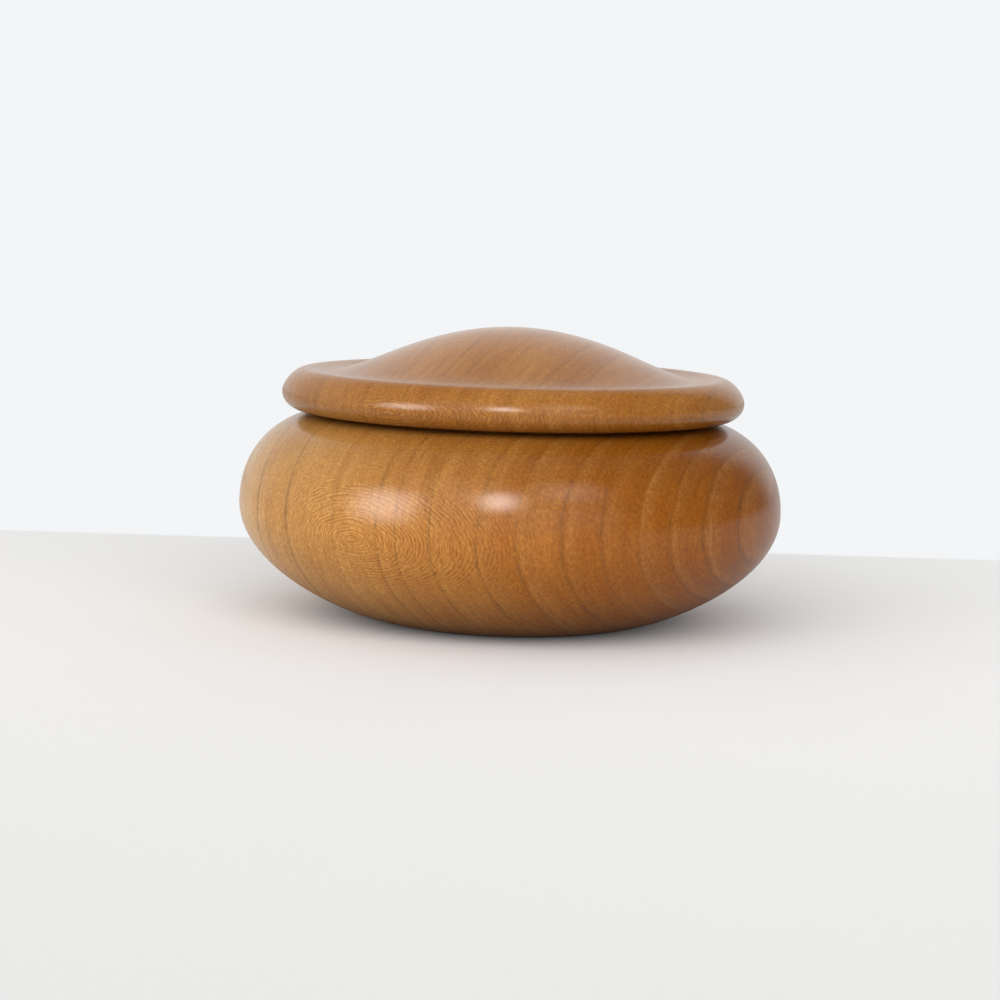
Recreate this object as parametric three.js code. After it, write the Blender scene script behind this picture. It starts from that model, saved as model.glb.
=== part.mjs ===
import * as THREE from 'three';

// A small incense box turned from one block of wood in two pieces: a squat
// round bowl and a domed lid with a rolled edge. The lid lifts straight off;
// the ring under it keeps it centred in the bowl's mouth. Millimetres, +Z up.
// The origin is the centre of the foot, on the surface that the box stands on.
//
// Each curve of a profile runs from level to upright or back. Its fullness
// says how far it keeps to its own direction at that end before it turns away,
// as a share of the way: 0.55 at both ends makes a quarter of an ellipse.

// Bowl, outside
const bellyRadius = 39.0;
const bellyHeight = 16.35;
const bellyFullnessBelow = 0.59;
const bellyFullnessAbove = 0.715;
const footRadius = 17.6;
const footFullness = 0.235;
const seatHeight = 29.6; // the flat rim that carries the lid
const shoulderDrop = 0.45; // from that rim down to the end of the shoulder
const shoulderLedge = 1.0; // from the rim's edge out to the end of the shoulder
const shoulderFullness = 0.327;

// Bowl, underneath: the foot is a ring round a shallow dished recess
const footRingWidth = 4.6;
const recessDepth = 0.9;
const recessFullness = 0.3;

// Bowl, inside
const mouthRadius = 23.6;
const rimWidth = 3.4;
const rimEdgeRound = 0.4; // the mouth's upper edge, softened
const mouthEdgeRound = 1.0; // the mouth's lower edge, where the well widens
const wallThickness = 4.6;
const floorThickness = 5.0;
const wellFloorRadius = 14.0;
const wellFloorFullness = 0.3;
const wellFullnessBelow = 0.58;
const wellFullnessAbove = 0.6;
const wellShoulderFullness = 0.5;

// Lid, outside: heights are above the rim that it rests on
const lidOverhang = 5.2; // past the end of the bowl's shoulder
const edgeHeight = 2.45; // the widest line of the rolled edge
const edgeUndercut = 2.85; // from that line in to the flat underside
const undercutFullness = 0.55;
const edgeFullnessBelow = 0.51;
const crestInset = 3.3; // from the widest line in to the top of the rolled edge
const crestHeight = 5.9;
const edgeFullnessAbove = 0.43;
const crestFullness = 0.44;
const troughWidth = 3.2; // from that top in to the trough round the dome
const troughDepth = 0.4;
const crestInnerFullness = 0.46;
const troughOuterFullness = 0.35;
const domeHeight = 12.4;
const domeFootFullness = 0.2;
const domeFullness = 0.5;

// Lid, inside
const lidThickness = 4.0; // at the centre of the dome
const spigotClearance = 0.3; // all round, between the ring and the mouth
const spigotHeight = 3.0;
const spigotWall = 2.6;
const spigotEdgeRound = 0.5;
const hollowFullness = 0.62;
const hollowWallFullness = 0.35;

// Facets
const turnSteps = 64;
const longCurveSteps = 9;
const mediumCurveSteps = 5;
const edgeSteps = 2;

// A profile is drawn as radius and height, out from the axis and back to it.
class Profile {
  constructor(radius, height) {
    this.points = [new THREE.Vector2(radius, height)];
  }

  end() {
    return this.points[this.points.length - 1];
  }

  lineTo(radius, height) {
    this.points.push(new THREE.Vector2(radius, height));
    return this;
  }

  curveTo(firstHandle, secondHandle, target, steps) {
    const curve = new THREE.CubicBezierCurve(this.end(), firstHandle, secondHandle, target);
    this.points.push(...curve.getPoints(steps).slice(1));
    return this;
  }

  // Leaves level and arrives upright, as a bowl's wall rises from its foot.
  levelToUpright(radius, height, levelFullness, uprightFullness, steps) {
    const from = this.end();
    return this.curveTo(
      new THREE.Vector2(THREE.MathUtils.lerp(from.x, radius, levelFullness), from.y),
      new THREE.Vector2(radius, THREE.MathUtils.lerp(height, from.y, uprightFullness)),
      new THREE.Vector2(radius, height),
      steps,
    );
  }

  // Leaves upright and arrives level, as a wall turns over into a shoulder.
  uprightToLevel(radius, height, uprightFullness, levelFullness, steps) {
    const from = this.end();
    return this.curveTo(
      new THREE.Vector2(from.x, THREE.MathUtils.lerp(from.y, height, uprightFullness)),
      new THREE.Vector2(THREE.MathUtils.lerp(radius, from.x, levelFullness), height),
      new THREE.Vector2(radius, height),
      steps,
    );
  }

  // Leaves level and arrives level, as a dome sweeps out into a trough.
  levelToLevel(radius, height, startFullness, endFullness, steps) {
    const from = this.end();
    return this.curveTo(
      new THREE.Vector2(THREE.MathUtils.lerp(from.x, radius, startFullness), from.y),
      new THREE.Vector2(THREE.MathUtils.lerp(radius, from.x, endFullness), height),
      new THREE.Vector2(radius, height),
      steps,
    );
  }
}

const circularFullness = 0.5523;
const rimRadius = mouthRadius + rimWidth;
const shoulderRadius = rimRadius + shoulderLedge;
const shoulderHeight = seatHeight - shoulderDrop;

function bowlProfile() {
  const recessRadius = footRadius - footRingWidth;
  const wellRadius = bellyRadius - wallThickness;
  const wellTop = shoulderHeight - wallThickness;

  return new Profile(0, recessDepth)
    .levelToUpright(recessRadius, 0, 1 - recessFullness, recessFullness, mediumCurveSteps)
    .lineTo(footRadius, 0)
    .levelToUpright(bellyRadius, bellyHeight, footFullness, bellyFullnessBelow, longCurveSteps)
    .uprightToLevel(
      shoulderRadius, shoulderHeight, bellyFullnessAbove, shoulderFullness, longCurveSteps,
    )
    .levelToUpright(rimRadius, seatHeight, circularFullness, circularFullness, edgeSteps)
    .lineTo(mouthRadius + rimEdgeRound, seatHeight)
    .levelToUpright(
      mouthRadius, seatHeight - rimEdgeRound, circularFullness, circularFullness, edgeSteps,
    )
    .lineTo(mouthRadius, wellTop + mouthEdgeRound)
    .uprightToLevel(
      mouthRadius + mouthEdgeRound, wellTop, circularFullness, circularFullness, edgeSteps,
    )
    .levelToUpright(
      wellRadius, bellyHeight, wellShoulderFullness, wellFullnessAbove, longCurveSteps,
    )
    .uprightToLevel(
      wellFloorRadius, floorThickness, wellFullnessBelow, wellFloorFullness, longCurveSteps,
    )
    .lineTo(0, floorThickness);
}

function lidProfile() {
  const lidRadius = shoulderRadius + lidOverhang;
  const crestRadius = lidRadius - crestInset;
  const domeTop = seatHeight + domeHeight;
  const spigotRadius = mouthRadius - spigotClearance;
  const hollowRadius = spigotRadius - spigotWall;
  const spigotEnd = seatHeight - spigotHeight;

  return new Profile(0, domeTop - lidThickness)
    .levelToUpright(
      hollowRadius, seatHeight, hollowFullness, hollowWallFullness, longCurveSteps,
    )
    .lineTo(hollowRadius, spigotEnd + spigotEdgeRound)
    .uprightToLevel(
      hollowRadius + spigotEdgeRound, spigotEnd, circularFullness, circularFullness, edgeSteps,
    )
    .lineTo(spigotRadius - spigotEdgeRound, spigotEnd)
    .levelToUpright(
      spigotRadius, spigotEnd + spigotEdgeRound, circularFullness, circularFullness, edgeSteps,
    )
    .lineTo(spigotRadius, seatHeight)
    .lineTo(lidRadius - edgeUndercut, seatHeight)
    .levelToUpright(
      lidRadius, seatHeight + edgeHeight, undercutFullness, edgeFullnessBelow, mediumCurveSteps,
    )
    .uprightToLevel(
      crestRadius, seatHeight + crestHeight, edgeFullnessAbove, crestFullness, mediumCurveSteps,
    )
    .levelToLevel(
      crestRadius - troughWidth, seatHeight + crestHeight - troughDepth,
      crestInnerFullness, troughOuterFullness, mediumCurveSteps,
    )
    .levelToLevel(0, domeTop, domeFootFullness, domeFullness, longCurveSteps);
}

function turned(name, profile, color) {
  const geometry = new THREE.LatheGeometry(profile.points, turnSteps);
  geometry.rotateX(Math.PI / 2);
  const material = new THREE.MeshStandardMaterial({ color, roughness: 0.35, metalness: 0 });
  const mesh = new THREE.Mesh(geometry, material);
  mesh.name = name;
  return mesh;
}

const box = new THREE.Group();
box.add(
  turned('bowl', bowlProfile(), '#9c6128'),
  turned('lid', lidProfile(), '#96602f'),
);

export default box;
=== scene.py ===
import math

import bpy
from mathutils import Matrix, Vector


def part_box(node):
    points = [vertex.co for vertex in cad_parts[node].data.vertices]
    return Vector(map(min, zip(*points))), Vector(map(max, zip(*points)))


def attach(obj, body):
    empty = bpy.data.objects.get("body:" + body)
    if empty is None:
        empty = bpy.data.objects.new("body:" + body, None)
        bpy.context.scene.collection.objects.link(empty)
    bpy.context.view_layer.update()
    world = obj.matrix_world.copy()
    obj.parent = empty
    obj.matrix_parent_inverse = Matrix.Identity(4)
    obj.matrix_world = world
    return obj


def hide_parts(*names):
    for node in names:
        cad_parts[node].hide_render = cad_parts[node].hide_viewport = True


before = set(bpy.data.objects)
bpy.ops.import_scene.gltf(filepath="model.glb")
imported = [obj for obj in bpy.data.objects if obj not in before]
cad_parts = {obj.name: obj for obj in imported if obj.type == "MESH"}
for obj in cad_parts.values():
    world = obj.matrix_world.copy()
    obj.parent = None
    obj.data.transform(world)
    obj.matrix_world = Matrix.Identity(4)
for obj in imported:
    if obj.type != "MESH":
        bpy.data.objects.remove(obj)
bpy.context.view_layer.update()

# A turned wooden incense box, dressed over its frame: a fine bowl and lid cut from
# one block of figured wood, on a pale table in front of a white wall. Metres.

MM = 0.001
BOWL_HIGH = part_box("bowl")[1]
LID_LOW, LID_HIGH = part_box("lid")

# Bowl, with the sizes and curve fullnesses of the part's source
BELLY_RADIUS = BOWL_HIGH[0]
SEAT_HEIGHT = BOWL_HIGH[2]
BELLY_HEIGHT = 16.35 * MM
BELLY_FULLNESS_BELOW = 0.59
BELLY_FULLNESS_ABOVE = 0.715
FOOT_RADIUS = 17.6 * MM
FOOT_FULLNESS = 0.235
SHOULDER_DROP = 0.45 * MM
SHOULDER_LEDGE = 1.0 * MM
SHOULDER_FULLNESS = 0.327
FOOT_RING_WIDTH = 4.6 * MM
RECESS_DEPTH = 0.9 * MM
RECESS_FULLNESS = 0.3
MOUTH_RADIUS = 23.6 * MM
RIM_WIDTH = 3.4 * MM
RIM_EDGE_ROUND = 0.4 * MM
MOUTH_EDGE_ROUND = 1.0 * MM
WALL_THICKNESS = 4.6 * MM
FLOOR_THICKNESS = 5.0 * MM
WELL_FLOOR_RADIUS = 14.0 * MM
WELL_FLOOR_FULLNESS = 0.3
WELL_FULLNESS_BELOW = 0.58
WELL_FULLNESS_ABOVE = 0.6
WELL_SHOULDER_FULLNESS = 0.5

# Lid
LID_RADIUS = LID_HIGH[0]
DOME_TOP = LID_HIGH[2]
SPIGOT_END = LID_LOW[2]
EDGE_HEIGHT = 2.45 * MM
EDGE_UNDERCUT = 2.85 * MM
UNDERCUT_FULLNESS = 0.55
EDGE_FULLNESS_BELOW = 0.51
CREST_INSET = 3.3 * MM
CREST_HEIGHT = 5.9 * MM
EDGE_FULLNESS_ABOVE = 0.43
CREST_FULLNESS = 0.44
TROUGH_WIDTH = 3.2 * MM
TROUGH_DEPTH = 0.4 * MM
CREST_INNER_FULLNESS = 0.46
TROUGH_OUTER_FULLNESS = 0.35
DOME_FOOT_FULLNESS = 0.2
DOME_FULLNESS = 0.5
LID_THICKNESS = 4.0 * MM
SPIGOT_CLEARANCE = 0.3 * MM
SPIGOT_WALL = 2.6 * MM
SPIGOT_EDGE_ROUND = 0.5 * MM
HOLLOW_FULLNESS = 0.62
HOLLOW_WALL_FULLNESS = 0.35

CIRCULAR_FULLNESS = 0.5523
TURN_STEPS = 288
CURVE_STEP = 0.55 * MM
LINE_STEP = 2 * CURVE_STEP
LEAST_CURVE_STEPS = 6
SHARP_ANGLE = math.radians(32)

# Camera, as the photograph was taken. Angles in degrees, and the sensor in millimetres.
TARGET = Vector((0, 0, 20 * MM))
CAMERA_DISTANCE = 380 * MM
CAMERA_ELEVATION = 6.22
CAMERA_ROLL = 1.74
FOCAL_SHARE = 2.628  # focal length, in widths of the sensor
SENSOR = 36.0
SHIFT_X = -0.0108
SHIFT_Y = -0.0207
CLIP_START = 10 * MM

# Table and wall
TABLE_BACK = 77 * MM
TABLE_EDGE_BLUR = 1.6 * MM
TABLE_HALF = 3.0
TABLE_COLOUR = (0.748, 0.742, 0.731, 1)
TABLE_SHADOW_GLOW = (0.018, 0.019, 0.021, 1)  # painted light: a faint glow, seen by the camera and in the lacquer, that lifts the table's shadows a little
TABLE_BOUNCE = (0.60, 0.585, 0.57, 1)  # its colour, for the light that it sends on
TABLE_TONE = 0.97
TABLE_MOTTLE = 0.03  # how much its weave and its clouds can each add to that
TABLE_FRONT_SHADE = (-40 * MM, -260 * MM, 1.0, 0.78)  # painted shade, darker towards the front: start, end, from, to
WEAVE_COUNT = 900.0  # per metre
CLOUD_COUNT = 14.0
WEAVE_RELIEF = 0.05 * MM
WEAVE_RELIEF_STRENGTH = 0.15
WALL_COLOUR = (0.896, 0.913, 0.931, 1)

# The room, as soft-edged patches of light round the box. Directions are in degrees, where
# azimuth 0 is towards the camera and grows to the right; a brightness of 1 is white.
# Middle azimuth, its half width, middle elevation, its half height, soft edge, brightness.
WALL_LIGHT = 0.98
ROOM_PATCHES = (
    (0, 200, 90, 44, 18, 0.46),  # ceiling
    (94, 47, 15, 52, 10, 0.20),  # dim side of the room
    (-15, 48, 40, 16, 14, 1.55),  # lit wall behind the camera
)
# Broad soft lights, which light the box but don't show in its lacquer.
# Azimuth, elevation, width and height in metres, and brightness.
SOFTBOXES = (
    (-4, 24, 2.3, 0.8, 2.70),
    (115, 32, 1.6, 1.0, 0.48),
)
# A window and two lamps, which show in the lacquer but don't light the wood under it.
# Azimuth, elevation, width and height in degrees, and brightness.
GLEAMS = (
    (-54, 17, 42, 50, 12.5),
    (-5, 31, 20, 32, 22.0),
    (30, 43, 38, 40, 3.0),
)
GLEAM_FADE = (0.5, 0.06)  # out from the middle, as shares of the size: dark, then full
LAMP_DISTANCE = 1.0  # from the box to all of these

# The block of wood, in millimetres. Its pith stood to the left of the box and a little
# behind it, so the growth rings are upright shells round that line and the rays run out
# from it. A noise here is its size across the rings, round them and along the fibres, how
# many finer layers it has, and how strong they are. A fade is where it starts and ends,
# and what it goes from and to.
PITH_DISTANCE = 135
PITH_AZIMUTH = math.radians(74.2)

# Growth rings, by distance out from the one through the middle of the box
RING_RANGE = 46
RING_EDGES = (
    -46, -41, -32, -25.5, -17.8, -8.4, -1.9, 0.8, 5.6, 11.7, 16.0,
    21.1, 24.7, 28.4, 31.4, 34.1, 36.8, 39.6, 42.8, 46,
)
RING_NOISE = (9, 14, 22, 3.0, 0.5)
RING_WANDER = 1.6  # how wide a range that noise moves them over

# Marks of a ring: a dark line at its edge and a pale streak after it. Each goes by the
# share of the ring's growth at which it lies, and breaks up along the ring.
RING_LINE = ((0.0, 0.5), (0.02, 0.0), (0.90, 0.0), (0.96, 0.45), (0.985, 1.0))
RING_STREAK = ((0.015, 0.0), (0.12, 1.0), (0.3, 0.5), (0.6, 0.0))
LEAST_MARK = 0.3  # of the faintest ring, where the strongest has 1
BREAK_NOISE = (0.8, 0.9, 2.6, 3.0, 0.7)
BREAK_FADE = (0.36, 0.60, 0.0, 1.0)
BROKEN_LINE = 0.25  # what is left of the line where it breaks
BROKEN_STREAK = 0.4
LINE_FADE = (16, 32, 0.6, 0.28)  # by height
STREAK_FADE = (0, 25, 0.07, 0.15)  # by distance out

# Ray fleck: sheets of ray cells across the rings, seen as fine contour lines
RAY_LEAN = 0.17  # of its height, which a sheet leans towards the front
FLECK_GAP = 0.46  # between lines, measured on the surface
FLECK_LAYERS = 5
FLECK_THINNEST = 0.03  # between sheets of the finest layer
FLECK_RADIAL = 2.4  # lengths over which the sheets wave
FLECK_FIBRE = 1.2
FLECK_ROUND = 4  # in gaps between sheets
FLECK_WAVE = 1.5  # and how far, as a share of their gap
FLECK_LINES = (-0.75, 0.25, -1.0, 0.35)  # from dark between the crests to pale on them
FACING_FADE = (0.60, 0.94, 0.1, 1.0)  # by how squarely the surface lies along the rays
PATCH_NOISE = (1.8, 0.9, 0.8, 2.0, 0.5)
PATCH_FADE = (0.35, 0.60, 0.4, 1.0)
FLECK_FADE = (24, 6, 0.15, 1.0)  # by distance out

# Pores, speckle, and faint bands between the rings
PORE_NOISE = (0.20, 0.22, 1.5, 2.0, 0.6)
PORE_FADE = (0.46, 0.30, 0.0, 1.0)
SPECKLE_NOISE = (0.34, 0.30, 0.55, 2.0, 0.6)
BAND_NOISE = (0.8, 9, 14, 2.0, 0.6)

# Colour of the wood, by distance out from the ring through the middle of the box. That distance
# grows from the left of the box to its right, so these colours also hold painted light and shade:
# lighter on the left, darker on the right.
WOOD_AND_SIDE_LIGHT_COLOURS = (
    (-40, (0.55, 0.325, 0.118, 1)),
    (-20, (0.44, 0.212, 0.052, 1)),
    (0, (0.355, 0.147, 0.029, 1)),
    (20, (0.25, 0.079, 0.007, 1)),
    (40, (0.19, 0.050, 0.001, 1)),
)
COLOUR_EVENING = (27, 33, 1.0, 0.1)  # by height: how much of its difference is left
COLOUR_SHIFT = (27, 33, 0, 7)  # by height: how much further out it is taken from
DRIFT_NOISE = (7, 22, 50, 2.0, 0.5)
COLOUR_DRIFT = 24.0  # how wide a range that noise takes it from
LINE_COLOUR = (0.07, 0.042, 0.014, 1)
PALE_COLOUR = (0.50, 0.27, 0.09, 1)
PORE_COLOUR = (0.16, 0.055, 0.008, 1)
PORE_SHARE = 0.20

# Painted shade by height, as a factor on the wood's colour: deep at the foot, where the underside
# lies in shade, full round the belly, and lower again up towards the lid's edge and on the lid,
# where less light falls. Then what a step of tone multiplies red, green and blue by, and how many
# steps each figure makes
PAINTED_SHADE_BY_HEIGHT = (
    (0, 0.34), (3, 0.66), (8, 1.03), (12, 1.04), (16, 1.00),
    (21, 0.89), (27, 0.75), (32, 0.79), (42, 0.92),
)
TONE_RATES = (1.38, 1.58, 1.78)
FLECK_TONE = 0.85
SPECKLE_TONE = 2.8
BAND_TONE = 1.3

# Lacquer, and how much of it there is by height
LACQUER = ((0, 0.18), (5, 0.30), (12, 0.68), (16, 0.80), (34, 0.80), (38, 0.95))
LACQUER_ROUGHNESS = 0.19
LACQUER_IOR = 1.41

# Relief of the surface, where a pore's depth counts as 1
FLECK_RELIEF = 0.5
TOOL_MARK_RELIEF = 0.8
TOOL_MARK_GAP = 0.7
RELIEF = 0.012 * MM
RELIEF_STRENGTH = 0.2
PORE_ROUGHNESS = 0.08

# Sockets of a Mix node that mixes colours, where several have the same name
COLOUR_A = 6
COLOUR_B = 7
COLOUR_RESULT = 2


class Profile:
    """Points of a turned profile as radius and height, each marked inside or outside."""

    def __init__(self, radius, height, inside):
        self.points = [(radius, height)]
        self.inside = []
        self.now_inside = inside

    def side(self, inside):
        self.now_inside = inside
        return self

    def add(self, radius, height):
        self.points.append((radius, height))
        self.inside.append(self.now_inside)

    def line_to(self, radius, height):
        start = self.points[-1]
        steps = max(1, round(math.dist(start, (radius, height)) / LINE_STEP))
        for i in range(1, steps + 1):
            share = i / steps
            self.add(start[0] + (radius - start[0]) * share, start[1] + (height - start[1]) * share)
        return self

    def curve_to(self, first, second, end):
        start = self.points[-1]
        length = math.dist(start, first) + math.dist(first, second) + math.dist(second, end)
        steps = max(LEAST_CURVE_STEPS, round(length / CURVE_STEP))
        for i in range(1, steps + 1):
            t = i / steps
            a, b, c, d = (1 - t) ** 3, 3 * t * (1 - t) ** 2, 3 * t * t * (1 - t), t ** 3
            self.add(*(a * start[k] + b * first[k] + c * second[k] + d * end[k] for k in (0, 1)))
        return self

    def level_to_upright(self, radius, height, level_fullness, upright_fullness):
        r, z = self.points[-1]
        first = (r + (radius - r) * level_fullness, z)
        second = (radius, height + (z - height) * upright_fullness)
        return self.curve_to(first, second, (radius, height))

    def upright_to_level(self, radius, height, upright_fullness, level_fullness):
        r, z = self.points[-1]
        first = (r, z + (height - z) * upright_fullness)
        second = (radius + (r - radius) * level_fullness, height)
        return self.curve_to(first, second, (radius, height))

    def level_to_level(self, radius, height, start_fullness, end_fullness):
        r, z = self.points[-1]
        first = (r + (radius - r) * start_fullness, z)
        second = (radius + (r - radius) * end_fullness, height)
        return self.curve_to(first, second, (radius, height))


RIM_RADIUS = MOUTH_RADIUS + RIM_WIDTH
SHOULDER_RADIUS = RIM_RADIUS + SHOULDER_LEDGE
SHOULDER_HEIGHT = SEAT_HEIGHT - SHOULDER_DROP


def bowl_profile():
    recess_radius = FOOT_RADIUS - FOOT_RING_WIDTH
    well_radius = BELLY_RADIUS - WALL_THICKNESS
    well_top = SHOULDER_HEIGHT - WALL_THICKNESS
    full = CIRCULAR_FULLNESS
    p = Profile(0, RECESS_DEPTH, inside=True)
    p.level_to_upright(recess_radius, 0, 1 - RECESS_FULLNESS, RECESS_FULLNESS)
    p.line_to(FOOT_RADIUS, 0).side(inside=False)
    p.level_to_upright(BELLY_RADIUS, BELLY_HEIGHT, FOOT_FULLNESS, BELLY_FULLNESS_BELOW)
    p.upright_to_level(SHOULDER_RADIUS, SHOULDER_HEIGHT, BELLY_FULLNESS_ABOVE, SHOULDER_FULLNESS)
    p.level_to_upright(RIM_RADIUS, SEAT_HEIGHT, full, full)
    p.line_to(MOUTH_RADIUS + RIM_EDGE_ROUND, SEAT_HEIGHT).side(inside=True)
    p.level_to_upright(MOUTH_RADIUS, SEAT_HEIGHT - RIM_EDGE_ROUND, full, full)
    p.line_to(MOUTH_RADIUS, well_top + MOUTH_EDGE_ROUND)
    p.upright_to_level(MOUTH_RADIUS + MOUTH_EDGE_ROUND, well_top, full, full)
    p.level_to_upright(well_radius, BELLY_HEIGHT, WELL_SHOULDER_FULLNESS, WELL_FULLNESS_ABOVE)
    p.upright_to_level(WELL_FLOOR_RADIUS, FLOOR_THICKNESS, WELL_FULLNESS_BELOW, WELL_FLOOR_FULLNESS)
    p.line_to(0, FLOOR_THICKNESS)
    return p


def lid_profile():
    crest_radius = LID_RADIUS - CREST_INSET
    spigot_radius = MOUTH_RADIUS - SPIGOT_CLEARANCE
    hollow_radius = spigot_radius - SPIGOT_WALL
    end_round = SPIGOT_EDGE_ROUND
    full = CIRCULAR_FULLNESS
    p = Profile(0, DOME_TOP - LID_THICKNESS, inside=True)
    p.level_to_upright(hollow_radius, SEAT_HEIGHT, HOLLOW_FULLNESS, HOLLOW_WALL_FULLNESS)
    p.line_to(hollow_radius, SPIGOT_END + end_round)
    p.upright_to_level(hollow_radius + end_round, SPIGOT_END, full, full)
    p.line_to(spigot_radius - end_round, SPIGOT_END)
    p.level_to_upright(spigot_radius, SPIGOT_END + end_round, full, full)
    p.line_to(spigot_radius, SEAT_HEIGHT)
    p.line_to(LID_RADIUS - EDGE_UNDERCUT, SEAT_HEIGHT).side(inside=False)
    p.level_to_upright(
        LID_RADIUS, SEAT_HEIGHT + EDGE_HEIGHT, UNDERCUT_FULLNESS, EDGE_FULLNESS_BELOW)
    p.upright_to_level(
        crest_radius, SEAT_HEIGHT + CREST_HEIGHT, EDGE_FULLNESS_ABOVE, CREST_FULLNESS)
    p.level_to_level(
        crest_radius - TROUGH_WIDTH, SEAT_HEIGHT + CREST_HEIGHT - TROUGH_DEPTH,
        CREST_INNER_FULLNESS, TROUGH_OUTER_FULLNESS)
    p.level_to_level(0, DOME_TOP, DOME_FOOT_FULLNESS, DOME_FULLNESS)
    return p


def add_object(name, data):
    made = bpy.data.objects.new(name, data)
    bpy.context.collection.objects.link(made)
    return made


def turned(name, profile, outside_material, inside_material):
    """Turns a profile that starts and ends on the axis into a closed smooth mesh."""
    vertices = [(0, 0, profile.points[0][1]), (0, 0, profile.points[-1][1])]
    rings = []
    for radius, height in profile.points[1:-1]:
        rings.append(len(vertices))
        for i in range(TURN_STEPS):
            angle = 2 * math.pi * i / TURN_STEPS
            vertices.append((radius * math.cos(angle), radius * math.sin(angle), height))
    faces = []
    slots = []

    def add_face(corners, inside):
        faces.append(corners)
        slots.append(int(inside))

    for i in range(TURN_STEPS):
        j = (i + 1) % TURN_STEPS
        add_face((0, rings[0] + j, rings[0] + i), profile.inside[0])
        for k in range(len(rings) - 1):
            a, b = rings[k], rings[k + 1]
            add_face((a + i, a + j, b + j, b + i), profile.inside[k + 1])
        add_face((1, rings[-1] + i, rings[-1] + j), profile.inside[-1])
    mesh = bpy.data.meshes.new(name)
    mesh.from_pydata(vertices, [], faces)
    mesh.materials.append(outside_material)
    mesh.materials.append(inside_material)
    mesh.polygons.foreach_set("material_index", slots)
    mesh.shade_smooth()
    mesh.set_sharp_from_angle(angle=SHARP_ANGLE)
    mesh.update()
    return add_object(name, mesh)


def flat_sheet(name, half_width, half_length, material):
    mesh = bpy.data.meshes.new(name)
    corners = ((-1, -1), (1, -1), (1, 1), (-1, 1))
    mesh.from_pydata([(x * half_width, y * half_length, 0) for x, y in corners], [], [(0, 1, 2, 3)])
    mesh.materials.append(material)
    return add_object(name, mesh)


class Graph:
    """Short names for the shader nodes that the materials are made of."""

    def __init__(self, tree):
        self.tree = tree
        tree.nodes.clear()

    def put(self, target, value):
        if isinstance(value, bpy.types.NodeSocket):
            self.tree.links.new(value, target)
        else:
            target.default_value = value

    def node(self, kind, settings=None, **inputs):
        made = self.tree.nodes.new(kind)
        for key, value in (settings or {}).items():
            setattr(made, key, value)
        for key, value in inputs.items():
            self.put(made.inputs[key.replace("_", " ")], value)
        return made

    def math(self, operation, *values):
        made = self.node("ShaderNodeMath", {"operation": operation})
        for socket, value in zip(made.inputs, values):
            self.put(socket, value)
        return made.outputs[0]

    def plus(self, first, *others):
        for other in others:
            first = self.math("ADD", first, other)
        return first

    def times(self, first, *others):
        for other in others:
            first = self.math("MULTIPLY", first, other)
        return first

    def minus(self, a, b):
        return self.math("SUBTRACT", a, b)

    def over(self, a, b):
        return self.math("DIVIDE", a, b)

    def length(self, a, b):
        return self.math("SQRT", self.plus(self.times(a, a), self.times(b, b)))

    def vector_math(self, operation, a, b, output):
        made = self.node("ShaderNodeVectorMath", {"operation": operation})
        self.put(made.inputs[0], a)
        self.put(made.inputs[1], b)
        return made.outputs[output]

    def dot(self, a, b):
        return self.vector_math("DOT_PRODUCT", a, b, "Value")

    def combine(self, x, y, z):
        return self.node("ShaderNodeCombineXYZ", X=x, Y=y, Z=z).outputs[0]

    def separate(self, vector):
        return self.node("ShaderNodeSeparateXYZ", Vector=vector).outputs

    def colour_ramp(self, value, stops, kind="LINEAR"):
        """Goes from colour to colour. A stop is a place from 0 to 1 and its colour."""
        made = self.node("ShaderNodeValToRGB", Fac=value)
        made.color_ramp.interpolation = kind
        elements = made.color_ramp.elements
        while len(elements) < len(stops):
            elements.new(1)
        for element, (place, colour) in zip(elements, stops):
            element.position = place
            element.color = colour
        return made.outputs[0]

    def ramp(self, value, stops, kind="EASE"):
        """Goes from number to number."""
        greys = [(place, (number, number, number, 1)) for place, number in stops]
        made = self.node("ShaderNodeSeparateColor", Color=self.colour_ramp(value, greys, kind))
        return made.outputs[0]

    def mix(self, factor, a, b, blend="MIX"):
        made = self.node("ShaderNodeMix", {"data_type": "RGBA", "blend_type": blend})
        self.put(made.inputs["Factor"], factor)
        self.put(made.inputs[COLOUR_A], a)
        self.put(made.inputs[COLOUR_B], b)
        return made.outputs[COLOUR_RESULT]

    def noise(self, x, y, z, detail=2.0, roughness=0.5):
        made = self.node(
            "ShaderNodeTexNoise", Vector=self.combine(x, y, z), Scale=1.0, Detail=detail,
            Roughness=roughness)
        return made.outputs[0]

    def step_linear(self, value, start, end, low=0.0, high=1.0, kind="LINEAR"):
        made = self.node(
            "ShaderNodeMapRange", {"interpolation_type": kind}, Value=value, From_Min=start,
            From_Max=end, To_Min=low, To_Max=high)
        return made.outputs[0]

    def step(self, value, start, end, low=0.0, high=1.0):
        """Goes smoothly from low at start to high at end."""
        return self.step_linear(value, start, end, low, high, kind="SMOOTHSTEP")

    def join(self, kind, first, second, **inputs):
        """Mixes or adds two shaders, which a node of this kind takes in its last sockets."""
        made = self.node(kind, **inputs)
        self.put(made.inputs[-2], first.outputs[0])
        self.put(made.inputs[-1], second.outputs[0])
        return made


def new_material(name):
    material = bpy.data.materials.new(name)
    material.use_nodes = True
    return material, Graph(material.node_tree)


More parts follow.
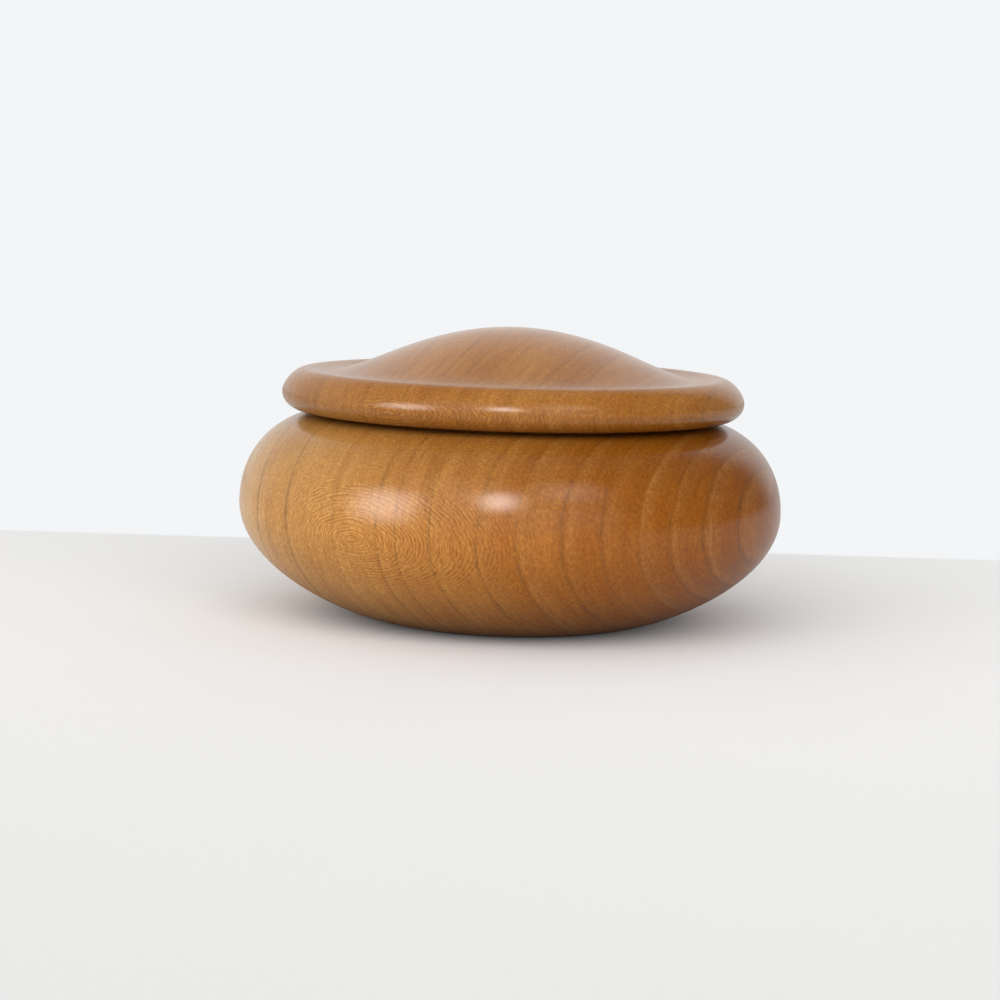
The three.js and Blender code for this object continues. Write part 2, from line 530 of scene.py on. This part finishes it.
class Grain:
    """Where a point of the surface lies in the block of wood, in millimetres."""

    def __init__(self, g):
        self.g = g
        source = g.node("ShaderNodeTexCoord")
        self.place = g.vector_math("DIVIDE", source.outputs["Object"], (MM, MM, MM), "Vector")
        self.height = g.separate(self.place)["Z"]
        normal = source.outputs["Normal"]
        outward = (math.sin(PITH_AZIMUTH), -math.cos(PITH_AZIMUTH), 0)
        sideways = (outward[1], -outward[0], 0)
        ahead = g.plus(g.dot(self.place, outward), PITH_DISTANCE)
        aside = g.dot(self.place, sideways)
        reach = g.length(ahead, aside)
        self.distance = g.minus(reach, PITH_DISTANCE)
        upright = g.times(g.math("ARCTAN2", aside, ahead), PITH_DISTANCE)
        self.round = g.minus(upright, g.times(self.height, RAY_LEAN))

        # How squarely the surface faces along the rings, and so lies along the rays
        across = g.minus(
            g.times(g.dot(normal, sideways), ahead), g.times(g.dot(normal, outward), aside))
        across = g.minus(g.over(across, reach), g.dot(normal, (0, 0, RAY_LEAN)))
        across = g.over(across, math.hypot(1, RAY_LEAN))
        self.facing = g.math("MINIMUM", g.math("ABSOLUTE", across), 1.0)

    def noise(self, radial, tangential, fibre, detail=1.0, roughness=0.5):
        """Noise whose features have these sizes across, round and along the grain."""
        g = self.g
        return g.noise(
            g.over(self.distance, radial), g.over(self.round, tangential),
            g.over(self.height, fibre), detail, roughness)

    def swing(self, *noise):
        """The same noise, to both sides of 0."""
        return self.g.minus(self.noise(*noise), 0.5)


def ring_number(g, distance):
    """Counts growth rings outwards; the fraction runs from 0 at a ring's start to 1 at its edge."""
    curve = g.node("ShaderNodeFloatCurve")
    points = curve.mapping.curves[0].points
    last = len(RING_EDGES) - 1
    while len(points) < last + 1:
        points.new(0.5, 0.5)
    for i, edge in enumerate(RING_EDGES):
        points[i].location = ((edge + RING_RANGE) / (2 * RING_RANGE), i / last)
        points[i].handle_type = "VECTOR"
    curve.mapping.update()
    g.put(curve.inputs["Value"], g.over(g.plus(distance, RING_RANGE), 2 * RING_RANGE))
    return g.times(curve.outputs[0], float(last))


def ray_fleck(g, grain):
    """Fine dark wavy lines, each layer twice as coarse as the last.

    A layer of sheets meets the surface in lines that draw together as the surface turns
    away from it, so the layers take over from each other and keep the lines' spacing.
    """
    slope = g.math("SQRT", g.minus(1.0, g.times(grain.facing, grain.facing)))
    gap = g.math("MAXIMUM", g.times(slope, FLECK_GAP), FLECK_THINNEST)
    total = 0.0
    for layer in range(FLECK_LAYERS):
        sheet = FLECK_THINNEST * 2 ** layer
        wave = grain.swing(FLECK_RADIAL, FLECK_ROUND * sheet, FLECK_FIBRE)
        turns = g.plus(g.over(grain.round, sheet), g.times(wave, FLECK_WAVE))
        line = g.math("COSINE", g.times(turns, 2 * math.pi))
        octaves = g.math("LOGARITHM", g.over(gap, sheet), 2.0)
        share = g.math("MAXIMUM", g.minus(1.0, g.math("ABSOLUTE", octaves)), 0.0)
        total = g.plus(total, g.times(line, share))
    strength = g.times(
        g.step(grain.facing, *FACING_FADE), g.step(grain.noise(*PATCH_NOISE), *PATCH_FADE),
        g.step(grain.distance, *FLECK_FADE))
    return g.times(g.step(total, *FLECK_LINES), strength)


def by_height(g, grain, values):
    top = values[-1][0]
    stops = [(height / top, value) for height, value in values]
    return g.ramp(g.over(grain.height, top), stops, kind="LINEAR")


def wood_and_side_light_colour(g, distance):
    stops = [((place + RING_RANGE) / (2 * RING_RANGE), colour) for place, colour in WOOD_AND_SIDE_LIGHT_COLOURS]
    return g.colour_ramp(g.step_linear(distance, -RING_RANGE, RING_RANGE), stops)


def wood(name, coat, roughness, tool_marks):
    material, g = new_material(name)
    grain = Grain(g)

    # Growth rings wander a little, and each is marked as strongly as chance has it
    rings = ring_number(g, g.plus(grain.distance, g.times(grain.swing(*RING_NOISE), RING_WANDER)))
    phase = g.math("FRACT", rings)
    chance = g.node("ShaderNodeTexWhiteNoise", {"noise_dimensions": "1D"}, W=g.math("FLOOR", rings))
    mark = g.plus(LEAST_MARK, g.times(chance.outputs[0], 1 - LEAST_MARK))
    whole = g.step(grain.noise(*BREAK_NOISE), *BREAK_FADE)
    line = g.times(g.ramp(phase, RING_LINE), mark, g.plus(BROKEN_LINE, whole))
    streak = g.times(mark, g.plus(BROKEN_STREAK, whole), g.ramp(phase, RING_STREAK))

    # Colour goes by the distance out, less so in the lid, and drifts a little; with it goes painted
    # side light, lighter on the left and darker on the right
    place = g.times(grain.distance, g.step(grain.height, *COLOUR_EVENING))
    place = g.plus(place, g.step(grain.height, *COLOUR_SHIFT))
    colour = wood_and_side_light_colour(g, g.plus(place, g.times(grain.swing(*DRIFT_NOISE), COLOUR_DRIFT)))
    colour = g.mix(g.times(streak, g.step(grain.distance, *STREAK_FADE)), colour, PALE_COLOUR)
    pore = g.step(grain.noise(*PORE_NOISE), *PORE_FADE)
    colour = g.mix(g.times(pore, PORE_SHARE), colour, PORE_COLOUR)
    colour = g.mix(g.times(line, g.step(grain.height, *LINE_FADE)), colour, LINE_COLOUR)

    # The fine figures deepen or lift that colour, each channel at its own rate
    fleck = ray_fleck(g, grain)
    tone = g.plus(
        g.times(fleck, FLECK_TONE), g.times(grain.swing(*SPECKLE_NOISE), SPECKLE_TONE),
        g.times(grain.swing(*BAND_NOISE), BAND_TONE))
    # Painted shade by height, the same in all three channels: darker at the foot and towards the
    # top
    painted_shade = by_height(g, grain, PAINTED_SHADE_BY_HEIGHT)
    gains = (g.times(painted_shade, g.math("POWER", rate, tone)) for rate in TONE_RATES)
    colour = g.mix(1.0, colour, g.combine(*gains), blend="MULTIPLY")

    relief = g.minus(g.times(fleck, FLECK_RELIEF), pore)
    if tool_marks:
        x, y, up = g.separate(grain.place)
        turns = g.over(g.plus(g.length(x, y), up), TOOL_MARK_GAP / (2 * math.pi))
        relief = g.plus(relief, g.times(g.math("SINE", turns), TOOL_MARK_RELIEF))
    bump = g.node("ShaderNodeBump", Height=relief, Strength=RELIEF_STRENGTH, Distance=RELIEF)
    shader = g.node(
        "ShaderNodeBsdfPrincipled", Base_Color=colour, Normal=bump.outputs[0],
        Roughness=g.plus(roughness, g.times(pore, PORE_ROUGHNESS)), Specular_IOR_Level=0.0,
        Coat_Weight=g.times(by_height(g, grain, LACQUER), coat),
        Coat_Roughness=LACQUER_ROUGHNESS, Coat_IOR=LACQUER_IOR)
    g.node("ShaderNodeOutputMaterial", Surface=shader.outputs[0])
    return material


def table_material():
    """Pale table that turns into the wall's white behind its back edge."""
    material, g = new_material("table")
    x, y, _ = g.separate(g.node("ShaderNodeTexCoord").outputs["Object"])
    weave = g.noise(g.times(x, WEAVE_COUNT), g.times(y, WEAVE_COUNT), 0.0, detail=3.0)
    cloud = g.noise(g.times(x, CLOUD_COUNT), g.times(y, CLOUD_COUNT), 0.0)
    mottle = g.plus(g.times(weave, TABLE_MOTTLE), g.times(cloud, TABLE_MOTTLE))
    # Painted shade: the table darkens towards the front
    tone = g.times(g.plus(TABLE_TONE, mottle), g.step_linear(y, *TABLE_FRONT_SHADE))

    # The camera sees one colour, itself or mirrored in the lacquer, and light meets another
    rays = g.node("ShaderNodeLightPath").outputs
    seen = g.math("MAXIMUM", rays["Is Camera Ray"], rays["Is Glossy Ray"])
    colour = g.mix(seen, TABLE_BOUNCE, TABLE_COLOUR)
    colour = g.mix(1.0, colour, g.combine(tone, tone, tone), blend="MULTIPLY")
    bump = g.node(
        "ShaderNodeBump", Height=weave, Strength=WEAVE_RELIEF_STRENGTH, Distance=WEAVE_RELIEF)
    diffuse = g.node("ShaderNodeBsdfDiffuse", Color=colour, Normal=bump.outputs[0])
    # Painted light: a faint glow that lifts the table's shadows, for the camera and in the lacquer
    shadow_glow = g.node("ShaderNodeEmission", Color=TABLE_SHADOW_GLOW, Strength=seen)
    lifted = g.join("ShaderNodeAddShader", diffuse, shadow_glow)

    wall = g.node("ShaderNodeEmission", Color=WALL_COLOUR)
    past = g.step(y, TABLE_BACK - TABLE_EDGE_BLUR, TABLE_BACK + TABLE_EDGE_BLUR)
    mixed = g.join(
        "ShaderNodeMixShader", lifted, wall, Fac=g.times(past, rays["Is Camera Ray"]))
    g.node("ShaderNodeOutputMaterial", Surface=mixed.outputs[0])
    return material


def make_table():
    table = flat_sheet("table", TABLE_HALF, TABLE_HALF, table_material())


def make_world():
    """A white wall behind the box, and the room in front of it as soft patches of light."""
    world = bpy.data.worlds.new("room")
    world.use_nodes = True
    bpy.context.scene.world = world
    g = Graph(world.node_tree)
    x, y, z = g.separate(g.node("ShaderNodeTexCoord").outputs["Generated"])
    azimuth = g.math("DEGREES", g.math("ARCTAN2", x, g.times(y, -1.0)))
    elevation = g.math("DEGREES", g.math("ARCSINE", z))
    light = (WALL_LIGHT, WALL_LIGHT, WALL_LIGHT, 1)
    for middle, half_width, level, half_height, edge, brightness in ROOM_PATCHES:
        aside = g.math("ABSOLUTE", g.minus(azimuth, middle))
        above = g.math("ABSOLUTE", g.minus(elevation, level))
        inside = g.times(
            g.step(aside, half_width + edge, half_width - edge),
            g.step(above, half_height + edge, half_height - edge))
        light = g.mix(inside, light, (brightness, brightness, brightness, 1))
    camera_ray = g.node("ShaderNodeLightPath").outputs["Is Camera Ray"]
    background = g.node("ShaderNodeBackground", Color=g.mix(camera_ray, light, WALL_COLOUR))
    g.node("ShaderNodeOutputWorld", Surface=background.outputs[0])


def facing_box(azimuth, elevation, distance):
    """The place that far away from the box in this direction, turned to face it."""
    a, e = math.radians(azimuth), math.radians(elevation)
    way = Vector((math.sin(a) * math.cos(e), -math.cos(a) * math.cos(e), math.sin(e)))
    aim = (-way).to_track_quat("-Z", "Y").to_matrix().to_4x4()
    return Matrix.Translation(TARGET + way * distance) @ aim


def make_softbox(azimuth, elevation, width, height, brightness):
    lamp = bpy.data.lights.new("softbox", "AREA")
    lamp.shape = "RECTANGLE"
    lamp.size = width
    lamp.size_y = height
    lamp.energy = brightness * math.pi * width * height  # in watts, for this brightness
    softbox = add_object("softbox", lamp)
    softbox.matrix_world = facing_box(azimuth, elevation, LAMP_DISTANCE)
    softbox.visible_glossy = False


def make_gleam(azimuth, elevation, width, height, brightness):
    material, g = new_material("gleam")
    across, up, _ = g.separate(g.node("ShaderNodeTexCoord").outputs["Generated"])
    fade = brightness
    for place in (across, up):
        fade = g.times(fade, g.step(g.math("ABSOLUTE", g.minus(place, 0.5)), *GLEAM_FADE))
    light = g.node("ShaderNodeEmission", Strength=fade)
    g.node("ShaderNodeOutputMaterial", Surface=light.outputs[0])

    half_width, half_height = (
        math.tan(math.radians(angle / 2)) * LAMP_DISTANCE for angle in (width, height))
    gleam = flat_sheet("gleam", half_width, half_height, material)
    gleam.matrix_world = facing_box(azimuth, elevation, LAMP_DISTANCE)
    gleam.visible_camera = False
    gleam.visible_diffuse = False
    gleam.visible_shadow = False


def make_camera():
    lens = bpy.data.cameras.new("camera")
    lens.sensor_fit = "HORIZONTAL"
    lens.sensor_width = SENSOR
    lens.lens = FOCAL_SHARE * SENSOR
    lens.shift_x = SHIFT_X
    lens.shift_y = SHIFT_Y
    lens.clip_start = CLIP_START
    camera = add_object("camera", lens)
    roll = Matrix.Rotation(math.radians(CAMERA_ROLL), 4, "Z")
    camera.matrix_world = facing_box(0, CAMERA_ELEVATION, CAMERA_DISTANCE) @ roll
    bpy.context.scene.camera = camera


make_camera()
make_table()
make_world()
for softbox in SOFTBOXES:
    make_softbox(*softbox)
for gleam in GLEAMS:
    make_gleam(*gleam)

outer_wood = wood("lacquered_wood", coat=1.0, roughness=0.5, tool_marks=False)
inner_wood = wood("inner_wood", coat=0.4, roughness=0.55, tool_marks=True)
for node, profile in (("bowl", bowl_profile()), ("lid", lid_profile())):
    piece = turned("turned_" + node, profile, outer_wood, inner_wood)
    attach(piece, node)
    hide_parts(node)

bpy.context.scene.view_settings.view_transform = "Standard"
